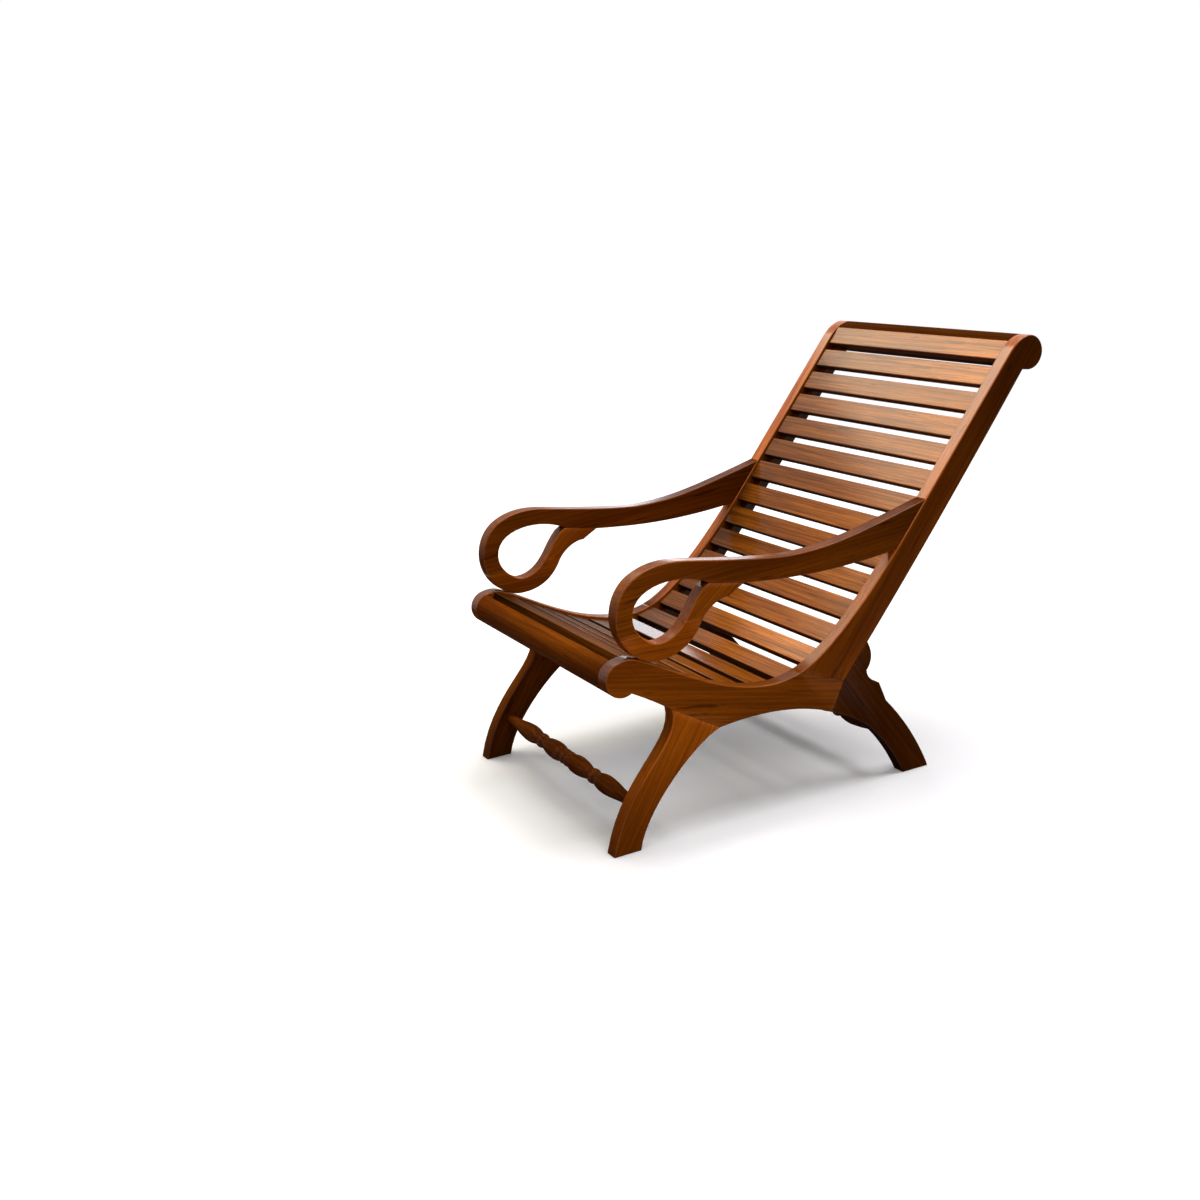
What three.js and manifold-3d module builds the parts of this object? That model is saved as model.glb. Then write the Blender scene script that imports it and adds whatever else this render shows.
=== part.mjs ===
import * as THREE from "three";
import { mergeVertices } from "three/addons/utils/BufferGeometryUtils.js";
import Module from "manifold-3d";

// Planters chair in hardwood, in millimetres.
// X runs across the chair, the front faces -Y, Z runs up and the feet stand on Z = 0.

// overall sizes
const chairWidth = 650;
const chairDepth = 1100;
const chairHeight = 913;

// side frames and arms
const frameThickness = 32.5;
const edgeRound = 3;
const scrollRadius = 36.5;
const glueLine = 0.3;
const tenonThickness = 11;

// slats and the strips that carry them
const slatCount = 20;
const backSlatCount = 13;
const slatWidth = 47;
const lastSlatShare = 0.985;
const slatThickness = 18;
const slatEdgeRound = 2.5;
const slatRecess = 5;
const slatEndGap = 0.5;
const cleatWidth = 21;
const cleatDepth = 25;
const cleatTopGap = 3;

// cross rails
const rollRailOffset = 10.4;
const rollTenonHeight = 44;
const rollTenonThickness = 11;
const crestTenonRadius = 12;
const railTenonReach = 16;

// turned stretchers
const stretcherTenonRadius = 8;
const stretcherTenonReach = 18;
const grooveWidth = 5;
const frontStretcherShare = [-0.438, 0.0955];
const rearStretcherShare = [0.1385, 0.1005];

// clearances and the overrun of a cut
const fitClearance = 0.3;
const cutOverrun = 8;

// corners of the seams in the side frame, as shares of depth and height
const legSeamFrontShare = [-0.3675, 0.3045];
const legSeamRearShare = [-0.267, 0.235];
const stileToeShare = [-0.087, 0.316];
const stileHeelShare = [0.012, 0.2715];
const archEndShare = [-0.017, 0.202];
const stileBackShare = [0.07, 0.3495];

// the side frame, from the toe of the front foot round by the back
const toeShare = [-0.5, 0];
const frontLegRearShares = [
  [[-0.444, 0]],
  [[-0.43, 0.092], [-0.318, 0.217], legSeamRearShare],
];
const archShares = [[[-0.147, 0.252], [-0.067, 0.2275], archEndShare]];
const rearLegFrontShares = [
  [[0.047, 0.171], [0.0755, 0.138]],
  [[0.1265, 0.0765], [0.1555, 0]],
  [[0.219, 0]],
];
const rearLegBackShares = [
  [[0.183, 0.105], [0.1145, 0.195]],
  [[0.098, 0.243]],
  [[0.091, 0.2475]],
  [[0.068, 0.261], [0.068, 0.2815]],
  [[0.089, 0.311], stileBackShare],
];
const stileBackShares = [[[0.201, 0.5355], [0.3275, 0.728], [0.45, 0.922]]];
const scrollNeckShares = [[[0.4405, 1], [0.4155, 0.9625]]];
const lipShares = [
  [[0.14, 0.5535]],
  [[0.11, 0.509], [-0.0095, 0.3445], stileToeShare],
  [[-0.117, 0.305], [-0.1465, 0.305]],
  [[-0.2595, 0.305], [-0.372, 0.4065], [-0.4355, 0.435]],
  [[-0.4465, 0.4395], [-0.459, 0.4385], [-0.468, 0.4355]],
];
const railNoseShares = [[[-0.4055, 0.336], legSeamFrontShare]];
const frontLegFrontShares = [[[-0.3495, 0.217], [-0.4655, 0.1755], toeShare]];
const frontScrollShare = [-0.4625, 0.396];
const topScrollStart = Math.PI * -0.565;
const topScrollEnd = Math.PI * 0.5;
const frontScrollStart = Math.PI * 0.5917;
const frontScrollEnd = Math.PI * 1.6667;

// the arm with its open loop, from the low end at the stile
const armEndHeightShare = 0.257;
const armTopShares = [
  [[0.048, 0.608], [-0.009, 0.5915], [-0.1035, 0.5915]],
  [[-0.1495, 0.5915], [-0.268, 0.614], [-0.3165, 0.6235]],
  [[-0.359, 0.632], [-0.3915, 0.6315], [-0.4255, 0.6115]],
  [[-0.4545, 0.5945], [-0.4695, 0.5595], [-0.4695, 0.523]],
];
const bowlTopFrontShare = [-0.462, 0.481];
const bowlTopRearShare = [-0.2965, 0.4865];
const tailRearShare = [-0.2055, 0.5505];
const loopUndersideShares = [
  [[-0.4695, 0.508], [-0.4665, 0.4935], bowlTopFrontShare],
  [[-0.448, 0.4435], [-0.4185, 0.4195], [-0.3905, 0.4195]],
  [[-0.349, 0.4195], [-0.317, 0.439], bowlTopRearShare],
  [[-0.291, 0.499], [-0.2675, 0.529], [-0.2375, 0.5285]],
  [[-0.2265, 0.5365], tailRearShare],
];
const armUndersideShares = [[[-0.118, 0.54], [-0.018, 0.53], [0.14, 0.5535]]];
const openingTipShare = [-0.28, 0.567];
const openingFrontShare = [-0.4235, 0.485];
const openingRearShare = [-0.331, 0.4945];
const openingShares = [
  [[-0.336, 0.604], [-0.436, 0.5925], [-0.436, 0.5245]],
  [[-0.436, 0.5085], [-0.431, 0.4955], openingFrontShare],
  [[-0.4115, 0.4675], [-0.394, 0.458], [-0.388, 0.458]],
  [[-0.36, 0.458], [-0.342, 0.478], openingRearShare],
  [[-0.327, 0.5005], [-0.324, 0.5055], [-0.3215, 0.5105]],
  [[-0.306, 0.5405], [-0.297, 0.552], [-0.2915, 0.559]],
  [openingTipShare],
];

// tenons of the side frame and arm: width along the seam and reach to either side
const legTenon = { width: 60, reach: 30 };
const stileTenon = { width: 46, reach: 24 };
const rearLegTenon = { width: 46, reach: 18 };
const armTenon = { width: 56, reach: 18 };
const bowlFrontTenon = { width: 18, reach: 10 };
const bowlRearTenon = { width: 14, reach: 9 };
const tailTenon = { width: 34, reach: 9 };

// half of the stretcher's turned profile: place along the length and radius, as shares
const turningSpan = 285;
const turningRadius = 20;
const turningShares = [
  [0.012, 0.66],
  [0.025, 0.84],
  [0.05, 0.84],
  [0.065, 0.74],
  [0.13, 0.97],
  [0.26, 0.95],
  [0.35, 0.72],
  [0.4, 0.63],
  [0.415, 0.8],
  [0.445, 0.8],
  [0.46, 0.63],
  [0.53, 0.84],
  [0.6, 0.98],
  [0.7, 0.93],
  [0.85, 0.68],
  [0.97, 0.55],
];

const innerHalf = chairWidth / 2 - frameThickness;
const frameMiddle = chairWidth / 2 - frameThickness / 2;
const curvePoints = 9;
const roundPoints = 20;
const cleatSteps = 20;
const cornerPoints = 2;

const wasm = await Module();
wasm.setup();

// a closed solid for cutting and joining
function solidOf(geometry) {
  const plain = geometry.clone();
  plain.deleteAttribute("normal");
  plain.deleteAttribute("uv");
  const merged = mergeVertices(plain);
  return new wasm.Manifold(
    new wasm.Mesh({
      numProp: 3,
      vertProperties: merged.attributes.position.array,
      triVerts: new Uint32Array(merged.index.array),
    }),
  );
}

// a finished piece as a named mesh
function meshOf(solid, name, material) {
  const result = solid.getMesh();
  const indexed = new THREE.BufferGeometry();
  indexed.setAttribute(
    "position",
    new THREE.BufferAttribute(new Float32Array(result.vertProperties), 3),
  );
  indexed.setIndex(new THREE.BufferAttribute(new Uint32Array(result.triVerts), 1));
  const geometry = indexed.toNonIndexed();
  geometry.computeVertexNormals();
  const mesh = new THREE.Mesh(geometry, material);
  mesh.name = name;
  return mesh;
}

// a point of the side view from its shares of depth and height
function sidePoint([depthShare, heightShare]) {
  return new THREE.Vector2(depthShare * chairDepth, heightShare * chairHeight);
}

// adds straight stretches and curves of two and three points to a path
function drawShares(path, stretches) {
  for (const stretch of stretches) {
    const points = stretch.map(sidePoint);
    const values = points.flatMap((point) => [point.x, point.y]);
    if (points.length === 1) path.lineTo(...values);
    if (points.length === 2) path.quadraticCurveTo(...values);
    if (points.length === 3) path.bezierCurveTo(...values);
  }
}

// stands a side view upright, with its thickness along X from the given start
function standSideView(geometry, startX) {
  const upright = new THREE.Matrix4().makeBasis(
    new THREE.Vector3(0, 1, 0),
    new THREE.Vector3(0, 0, 1),
    new THREE.Vector3(1, 0, 0),
  );
  return geometry.applyMatrix4(upright).translate(startX, 0, 0);
}

// a plank of the frame's thickness with its edges rounded over
function framePlank(shape) {
  const geometry = new THREE.ExtrudeGeometry(shape, {
    depth: frameThickness - 2 * edgeRound,
    bevelThickness: edgeRound,
    bevelSize: edgeRound,
    bevelOffset: -edgeRound,
    bevelSegments: 2,
    curveSegments: curvePoints,
  });
  return solidOf(standSideView(geometry, innerHalf + edgeRound));
}

// a straight bar across the chair with the given section
function crossBar(shape, length, curveSegments) {
  const geometry = new THREE.ExtrudeGeometry(shape, {
    depth: length,
    bevelEnabled: false,
    curveSegments,
  });
  return solidOf(standSideView(geometry, -length / 2));
}

// a block turned in the side view
function sideBlock(center, heading, sizeX, sizeAlong, sizeAcross, middleX) {
  const geometry = new THREE.BoxGeometry(sizeX, sizeAlong, sizeAcross);
  geometry.rotateX(heading);
  geometry.translate(middleX, center.x, center.y);
  return solidOf(geometry);
}

// the thin space of a glue line between two corners, run on at either end
function seamBlock(fromShare, toShare, runOnFrom, runOnTo) {
  const from = sidePoint(fromShare);
  const to = sidePoint(toShare);
  const along = to.clone().sub(from).normalize();
  from.addScaledVector(along, -runOnFrom);
  to.addScaledVector(along, runOnTo);
  const middle = from.clone().lerp(to, 0.5);
  const length = from.distanceTo(to);
  const wide = frameThickness + 2 * cutOverrun;
  return sideBlock(middle, along.angle(), wide, length, glueLine, frameMiddle);
}

// cuts a plank along its seams and gives the pieces from front to back
function sawApart(plank, seams) {
  const sawn = seams.reduce((rest, seam) => rest.subtract(seam), plank);
  const middleY = (piece) => {
    const box = piece.boundingBox();
    return box.min[1] + box.max[1];
  };
  return sawn.decompose().sort((a, b) => middleY(a) - middleY(b));
}

// the tenon across a seam, or its mortise when a clearance is given
function seamTenon(from, to, size, clearance) {
  const middle = from.clone().lerp(to, 0.5);
  const heading = to.clone().sub(from).angle();
  return sideBlock(
    middle,
    heading,
    tenonThickness + 2 * clearance,
    size.width + 2 * clearance,
    2 * size.reach + 2 * clearance,
    frameMiddle,
  );
}

// joins the tenon to one piece and sinks its mortise in the other
function joinPieces(pieces, owner, host, from, to, size) {
  const tenon = seamTenon(from, to, size, 0);
  const mortise = seamTenon(from, to, size, fitClearance);
  pieces[owner] = pieces[owner].add(tenon);
  pieces[host] = pieces[host].subtract(mortise);
}

// the lip that the frame shows round the slats, run up to the crest rail
const crestReachShare = 1.071;

function lipFoot() {
  return sidePoint(lipShares[0][0]);
}

function lipHead() {
  return sidePoint(scrollNeckShares[0][1]);
}

function lipPath() {
  const path = new THREE.Path();
  const start = lipFoot().lerp(lipHead(), crestReachShare);
  path.moveTo(start.x, start.y);
  drawShares(path, lipShares);
  return path;
}

const lip = lipPath();
const lipLength = lip.getLength();
const slatPitch = (lastSlatShare * lipLength - slatWidth) / (slatCount - 1);

// a place at the given distance along the lip, sunk into the wood by the given depth
function placeOnLip(distance, sunk) {
  const share = Math.min(distance / lipLength, 1);
  const along = lip.getTangentAt(share);
  const point = lip.getPointAt(share);
  point.x -= along.y * sunk;
  point.y += along.x * sunk;
  return { point, heading: along.angle() };
}

function topScrollCenter() {
  return new THREE.Vector2(chairDepth / 2 - scrollRadius, chairHeight - scrollRadius);
}

function armEndHigh() {
  return lipFoot().lerp(lipHead(), armEndHeightShare);
}

function sideFrameShape() {
  const shape = new THREE.Shape();
  const toe = sidePoint(toeShare);
  const topScroll = topScrollCenter();
  const frontScroll = sidePoint(frontScrollShare);
  const round = scrollRadius;
  shape.moveTo(toe.x, toe.y);
  drawShares(shape, frontLegRearShares);
  drawShares(shape, archShares);
  drawShares(shape, rearLegFrontShares);
  drawShares(shape, rearLegBackShares);
  drawShares(shape, stileBackShares);
  shape.absarc(topScroll.x, topScroll.y, round, topScrollStart, topScrollEnd, false);
  drawShares(shape, scrollNeckShares);
  drawShares(shape, lipShares);
  shape.absarc(frontScroll.x, frontScroll.y, round, frontScrollStart, frontScrollEnd, false);
  drawShares(shape, railNoseShares);
  drawShares(shape, frontLegFrontShares);
  return shape;
}

function armShape() {
  const shape = new THREE.Shape();
  const low = lipFoot();
  const high = armEndHigh();
  shape.moveTo(low.x, low.y);
  shape.lineTo(high.x, high.y);
  drawShares(shape, armTopShares);
  drawShares(shape, loopUndersideShares);
  drawShares(shape, armUndersideShares);
  const opening = new THREE.Path();
  const tip = sidePoint(openingTipShare);
  opening.moveTo(tip.x, tip.y);
  drawShares(opening, openingShares);
  shape.holes.push(opening);
  return shape;
}

function sideFramePieces() {
  const seams = [
    seamBlock(legSeamFrontShare, legSeamRearShare, glueLine, cutOverrun),
    seamBlock(stileHeelShare, stileToeShare, glueLine, cutOverrun),
    seamBlock(stileHeelShare, archEndShare, glueLine, cutOverrun),
    seamBlock(stileHeelShare, stileBackShare, glueLine, glueLine),
  ];
  const [frontLeg, seatRail, rearLeg, backStile] = sawApart(
    framePlank(sideFrameShape()),
    seams,
  );
  return { frontLeg, seatRail, rearLeg, backStile };
}

function armPieces(seatRail, backStile) {
  const seams = [
    seamBlock(bowlTopFrontShare, openingFrontShare, cutOverrun, cutOverrun),
    seamBlock(openingRearShare, bowlTopRearShare, cutOverrun, cutOverrun),
    seamBlock(openingTipShare, tailRearShare, cutOverrun, cutOverrun),
  ];
  const plank = framePlank(armShape())
    .subtract(seatRail.translate([0, 0, glueLine]))
    .subtract(backStile.translate([0, -glueLine, 0]));
  const [bowl, tail, arm] = sawApart(plank, seams);
  return { bowl, tail, arm };
}

function sidePieces() {
  const frame = sideFramePieces();
  const pieces = { ...frame, ...armPieces(frame.seatRail, frame.backStile) };
  const join = (owner, host, fromShare, toShare, size) =>
    joinPieces(pieces, owner, host, sidePoint(fromShare), sidePoint(toShare), size);
  join("frontLeg", "seatRail", legSeamFrontShare, legSeamRearShare, legTenon);
  join("backStile", "seatRail", stileToeShare, stileHeelShare, stileTenon);
  join("rearLeg", "backStile", stileHeelShare, stileBackShare, rearLegTenon);
  join("arm", "bowl", bowlTopFrontShare, openingFrontShare, bowlFrontTenon);
  join("tail", "bowl", openingRearShare, bowlTopRearShare, bowlRearTenon);
  join("tail", "arm", openingTipShare, tailRearShare, tailTenon);
  joinPieces(pieces, "arm", "backStile", lipFoot(), armEndHigh(), armTenon);
  return pieces;
}

// the strip behind the slats, from one distance along the lip to another
function cleat(fromDistance, toDistance) {
  const front = [];
  const back = [];
  const sunk = slatRecess + slatThickness + fitClearance;
  for (let step = 0; step <= cleatSteps; step += 1) {
    const distance = THREE.MathUtils.lerp(fromDistance, toDistance, step / cleatSteps);
    front.push(placeOnLip(distance, sunk).point);
    back.unshift(placeOnLip(distance, sunk + cleatDepth).point);
  }
  const shape = new THREE.Shape([...front, ...back]);
  const middleX = innerHalf - fitClearance - cleatWidth / 2;
  const strip = crossBar(shape, cleatWidth, cleatSteps).translate([middleX, 0, 0]);
  return slatHousings().reduce((rest, housing) => rest.subtract(housing), strip);
}

// the middle of a slat in the side view
function slatPlace(index) {
  const distance = slatWidth / 2 + index * slatPitch;
  return placeOnLip(distance, slatRecess + slatThickness / 2);
}

// the flat seats that the slats leave in the strips
function slatHousings() {
  const wide = slatWidth + 2 * fitClearance;
  const thick = slatThickness + 2 * fitClearance;
  return Array.from({ length: slatCount }, (_, index) => {
    const place = slatPlace(index);
    return sideBlock(place.point, place.heading, chairWidth, wide, thick, 0);
  });
}

// one slat, lying flat under its place on the lip
function slat(index) {
  const shape = roundedBar(slatWidth, slatThickness, slatEdgeRound);
  const bar = crossBar(shape, 2 * (innerHalf - slatEndGap), cornerPoints);
  return turnedInPlace(bar, slatPlace(index));
}

// a rectangle with its corners rounded
function roundedBar(width, height, radius) {
  const shape = new THREE.Shape();
  const right = width / 2 - radius;
  const top = height / 2 - radius;
  const quarter = Math.PI / 2;
  shape.absarc(right, top, radius, 0, quarter, false);
  shape.absarc(-right, top, radius, quarter, 2 * quarter, false);
  shape.absarc(-right, -top, radius, 2 * quarter, 3 * quarter, false);
  shape.absarc(right, -top, radius, 3 * quarter, 4 * quarter, false);
  return shape;
}

// turns a bar about X and moves it to a place in the side view
function turnedInPlace(bar, place) {
  const degrees = THREE.MathUtils.radToDeg(place.heading);
  return bar.rotate([degrees, 0, 0]).translate([0, place.point.x, place.point.y]);
}

function roundBar(radius, length) {
  const shape = new THREE.Shape();
  shape.absarc(0, 0, radius, 0, 2 * Math.PI, false);
  return crossBar(shape, length, roundPoints / 2);
}

// the space kept free for the top slat inside the crest rail
function crestRebate() {
  const deep = slatRecess + slatThickness + fitClearance;
  const place = placeOnLip(slatWidth / 2, deep / 2 - cutOverrun / 2);
  const long = slatWidth + 2 * fitClearance;
  return sideBlock(place.point, place.heading, chairWidth, long, deep + cutOverrun, 0);
}

function crestTenon(clearance) {
  const center = topScrollCenter();
  const length = 2 * (innerHalf + railTenonReach + clearance);
  return roundBar(crestTenonRadius + clearance, length).translate([0, center.x, center.y]);
}

function crestRail() {
  const center = topScrollCenter();
  return roundBar(scrollRadius, 2 * (innerHalf - fitClearance))
    .translate([0, center.x, center.y])
    .subtract(crestRebate())
    .add(crestTenon(0));
}

function rollTenon(clearance) {
  const center = sidePoint(frontScrollShare);
  const thickness = rollTenonThickness + 2 * clearance;
  const middle = (scrollRadius + rollRailOffset) / 2;
  center.x -= middle;
  const length = 2 * (innerHalf + railTenonReach + clearance);
  return sideBlock(center, 0, length, thickness, rollTenonHeight + 2 * clearance, 0);
}

// the moulding over the front edge, round in front and flat behind
function frontRollRail() {
  const center = sidePoint(frontScrollShare);
  const half = Math.acos(rollRailOffset / scrollRadius);
  const shape = new THREE.Shape();
  shape.absarc(center.x, center.y, scrollRadius, Math.PI - half, Math.PI + half, false);
  const length = 2 * (innerHalf - fitClearance);
  return crossBar(shape, length, roundPoints / 2).add(rollTenon(0));
}

// the socket of a stretcher in a leg
function stretcherSocket(share) {
  const center = sidePoint(share);
  const length = 2 * (innerHalf + stretcherTenonReach + fitClearance);
  return roundBar(stretcherTenonRadius + fitClearance, length).translate([
    0,
    center.x,
    center.y,
  ]);
}

// a turned bar between two legs, with a pair of beads in the middle and rings at the necks
function stretcher(share) {
  const tenonEnd = innerHalf + stretcherTenonReach;
  const shoulder = innerHalf - fitClearance;
  const neck = turningRadius * turningShares[turningShares.length - 1][1];
  const turned = turningShares.map(
    ([spanShare, radiusShare]) =>
      new THREE.Vector2(radiusShare * turningRadius, spanShare * turningSpan),
  );
  const half = [
    new THREE.Vector2(turned[0].x, grooveWidth / 2),
    ...turned.slice(1),
    new THREE.Vector2(neck, shoulder),
    new THREE.Vector2(stretcherTenonRadius, shoulder),
    new THREE.Vector2(stretcherTenonRadius, tenonEnd),
    new THREE.Vector2(0, tenonEnd),
  ];
  const otherHalf = half.map((point) => new THREE.Vector2(point.x, -point.y)).reverse();
  const geometry = new THREE.LatheGeometry([...otherHalf, ...half], roundPoints);
  geometry.rotateZ(-Math.PI / 2);
  const center = sidePoint(share);
  return solidOf(geometry.translate(0, center.x, center.y));
}

const timber = {
  frame: new THREE.MeshStandardMaterial({ color: "#6b3416", roughness: 0.45 }),
  slats: new THREE.MeshStandardMaterial({ color: "#8a4a22", roughness: 0.4 }),
  cross: new THREE.MeshStandardMaterial({ color: "#5c2a12", roughness: 0.5 }),
};

const chair = new THREE.Group();
const addPiece = (solid, name, material) => chair.add(meshOf(solid, name, material));

const side = sidePieces();
const railSockets = [
  stretcherSocket(frontStretcherShare),
  stretcherSocket(rearStretcherShare),
  crestTenon(fitClearance),
  rollTenon(fitClearance),
];
const sideNodes = {
  seat_rail: side.seatRail.subtract(railSockets[3]),
  back_stile: side.backStile.subtract(railSockets[2]),
  front_leg: side.frontLeg.subtract(railSockets[0]),
  rear_leg: side.rearLeg.subtract(railSockets[1]),
  arm: side.arm,
  arm_bowl: side.bowl,
  arm_tail: side.tail,
};
const seatStart = backSlatCount * slatPitch - (slatPitch - slatWidth) / 2;
const cleatNodes = {
  back_cleat: cleat(scrollRadius + cleatTopGap, seatStart - fitClearance),
  seat_cleat: cleat(seatStart, lastSlatShare * lipLength),
};

for (const [name, solid] of Object.entries({ ...sideNodes, ...cleatNodes })) {
  const wood = name in cleatNodes ? timber.cross : timber.frame;
  addPiece(solid, "left_" + name, wood);
  addPiece(solid.mirror([1, 0, 0]), "right_" + name, wood);
}

addPiece(crestRail(), "crest_rail", timber.frame);
addPiece(frontRollRail(), "front_roll_rail", timber.frame);
addPiece(stretcher(frontStretcherShare), "front_stretcher", timber.cross);
addPiece(stretcher(rearStretcherShare), "rear_stretcher", timber.cross);

for (let index = 0; index < slatCount; index += 1) {
  const group = index < backSlatCount ? "back_slat_" : "seat_slat_";
  const order = index < backSlatCount ? index : index - backSlatCount;
  addPiece(slat(index), group + (order + 1), timber.slats);
}

export default chair;
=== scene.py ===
import math
import random
from bisect import bisect_left

import bpy
from mathutils import Matrix, Vector
from mathutils.geometry import interpolate_bezier


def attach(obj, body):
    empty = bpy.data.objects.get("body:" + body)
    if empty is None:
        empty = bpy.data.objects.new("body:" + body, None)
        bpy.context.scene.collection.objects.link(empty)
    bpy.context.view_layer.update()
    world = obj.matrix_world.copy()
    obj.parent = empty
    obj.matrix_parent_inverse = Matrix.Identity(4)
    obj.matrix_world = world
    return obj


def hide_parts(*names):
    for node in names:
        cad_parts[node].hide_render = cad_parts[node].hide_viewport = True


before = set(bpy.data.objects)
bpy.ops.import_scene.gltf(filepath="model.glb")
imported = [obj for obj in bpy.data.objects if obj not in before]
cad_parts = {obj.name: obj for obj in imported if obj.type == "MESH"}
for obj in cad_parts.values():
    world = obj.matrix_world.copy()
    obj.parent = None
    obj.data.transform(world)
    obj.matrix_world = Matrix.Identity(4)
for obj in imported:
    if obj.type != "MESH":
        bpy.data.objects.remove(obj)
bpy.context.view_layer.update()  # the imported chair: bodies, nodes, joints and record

mm = 0.001

# the chair's main sizes in millimetres, the same as in the frame
chair = {
    "width": 650.0,
    "thickness": 32.5,  # of the side frames and the arms
    "edgeRound": 3.2,
    "seamEase": 0.5,  # tiny chamfer along a glue line
    "gap": 0.3,  # the glue line itself
    "scrollRadius": 36.5,
    "topScroll": (513.5, 876.5),
    "frontScroll": (-508.75, 361.5),
}
outerX = chair["width"] / 2
innerX = outerX - chair["thickness"]

# how every piece is finished
finishing = {
    "merge": 0.02,  # points closer than this, in millimetres, become one
    "shortest": 0.001,  # a shorter stretch of an outline is left out
    "roundSteps": 4,
    "easeSteps": 3,
    "easeAbove": 35,  # degrees between two faces
    "smoothBelow": 38,
}

# each piece draws its grain from a seed of its own
seeds = {
    "boardStep": 11,  # from one board of the side frame to the next
    "slatTone": 300,
    "slat": 500,
    "strip": 700,
    "rail": 800,
    "stretcher": 900,
}


# camera
cameraSetup = {
    "lens": 42.075,
    "sensor": 36.0,
    "place": (2.5514, -1.6933, 1.2474),
    "turn": 62.76,
    "tilt": 16.02,
    "roll": -3.54,
}


def placeCamera():
    bpy.ops.object.camera_add(location=(0, 0, 0))
    camera = bpy.context.object
    camera.name = "viewCamera"
    turn, tilt, roll = (math.radians(cameraSetup[key]) for key in ("turn", "tilt", "roll"))
    camera.matrix_world = (
        Matrix.Translation(cameraSetup["place"])
        @ Matrix.Rotation(turn, 4, "Z")
        @ Matrix.Rotation(math.pi / 2 - tilt, 4, "X")
        @ Matrix.Rotation(roll, 4, "Z")
    )
    camera.data.sensor_width = cameraSetup["sensor"]
    camera.data.lens = cameraSetup["lens"]
    bpy.context.scene.camera = camera
    print("camera placed")


# small helpers
def within(value):
    return max(0.0, min(1.0, value))


def between(pair, share):
    return pair[0] + (pair[1] - pair[0]) * share


def startFresh():
    if bpy.context.mode != "OBJECT":
        bpy.ops.object.mode_set(mode="OBJECT")
    bpy.ops.object.select_all(action="DESELECT")


def workOn(piece):
    startFresh()
    piece.select_set(True)
    bpy.context.view_layer.objects.active = piece


def editAll(piece):
    workOn(piece)
    bpy.ops.object.mode_set(mode="EDIT")
    bpy.ops.mesh.select_all(action="SELECT")


def turnOutwards(piece):
    editAll(piece)
    bpy.ops.mesh.normals_make_consistent(inside=False)
    bpy.ops.object.mode_set(mode="OBJECT")


def copyOf(piece):
    workOn(piece)
    bpy.ops.object.duplicate(linked=False)
    return bpy.context.object


def settle(piece):
    workOn(piece)
    bpy.ops.object.transform_apply(location=True, rotation=True, scale=True)


def mirrorCopy(piece, name):
    copy = copyOf(piece)
    copy.name = name
    copy.scale = (-1, 1, 1)
    settle(copy)
    turnOutwards(copy)
    return copy


def applyLast(piece):
    workOn(piece)
    bpy.ops.object.modifier_apply(modifier=piece.modifiers[-1].name)


def cutAway(piece, cutter):
    workOn(piece)
    bpy.ops.object.modifier_add(type="BOOLEAN")
    cut = piece.modifiers[-1]
    cut.operation = "DIFFERENCE"
    cut.solver = "EXACT"
    cut.object = cutter
    applyLast(piece)
    bpy.data.objects.remove(cutter)


# shareOf gives the share of the full rounding that an edge gets, from its two ends
def weighEdges(piece, shareOf):
    mesh = piece.data
    weights = mesh.attributes.new("bevel_weight_edge", "FLOAT", "EDGE")
    for edge in mesh.edges:
        first, second = (mesh.vertices[index].co / mm for index in edge.vertices)
        weights.data[edge.index].value = shareOf(first, second)


def roundEdges(piece, width):
    workOn(piece)
    bpy.ops.object.modifier_add(type="BEVEL")
    bevel = piece.modifiers[-1]
    bevel.limit_method = "WEIGHT"
    bevel.width = width * mm
    bevel.segments = finishing["roundSteps"]
    bevel.use_clamp_overlap = False
    applyLast(piece)


def easeEdges(piece, width):
    workOn(piece)
    bpy.ops.object.modifier_add(type="BEVEL")
    bevel = piece.modifiers[-1]
    bevel.limit_method = "ANGLE"
    bevel.angle_limit = math.radians(finishing["easeAbove"])
    bevel.width = width * mm
    bevel.segments = finishing["easeSteps"]
    applyLast(piece)


def smoothFaces(piece):
    workOn(piece)
    bpy.ops.object.shade_smooth_by_angle(angle=math.radians(finishing["smoothBelow"]))
    bpy.ops.object.modifier_add(type="WEIGHTED_NORMAL")
    piece.modifiers[-1].keep_sharp = True
    applyLast(piece)


# whether an edge, from first to second in millimetres, runs across the chair
def runsAcross(first, second):
    return abs(first.x - second.x) > 1


def pointNearLine(point, start, end, near):
    along = end - start
    share = within((point - start).dot(along) / along.length_squared)
    return (start + along * share - point).length < near


# outlines are in millimetres: along the chair, then up
# in a stretch one pair is a straight line, two a simple bend and three a full curve
def onCircle(angle):
    return Vector((math.cos(angle), math.sin(angle)))


def alongCircle(angle):
    return Vector((-math.sin(angle), math.cos(angle)))


def arcStretches(center, radius, fromAngle, toAngle, most=math.pi / 3):
    pieces = max(2, math.ceil(abs(toAngle - fromAngle) / most))
    step = (toAngle - fromAngle) / pieces
    reach = 4 / 3 * math.tan(step / 4) * radius  # handles of this length keep to the circle
    stretches = [[tuple(Vector(center) + onCircle(fromAngle) * radius)]]
    for number in range(pieces):
        start, end = fromAngle + number * step, fromAngle + (number + 1) * step
        first, last = (Vector(center) + onCircle(angle) * radius for angle in (start, end))
        stretches.append([first + alongCircle(start) * reach, last - alongCircle(end) * reach, last])
    return stretches


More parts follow.
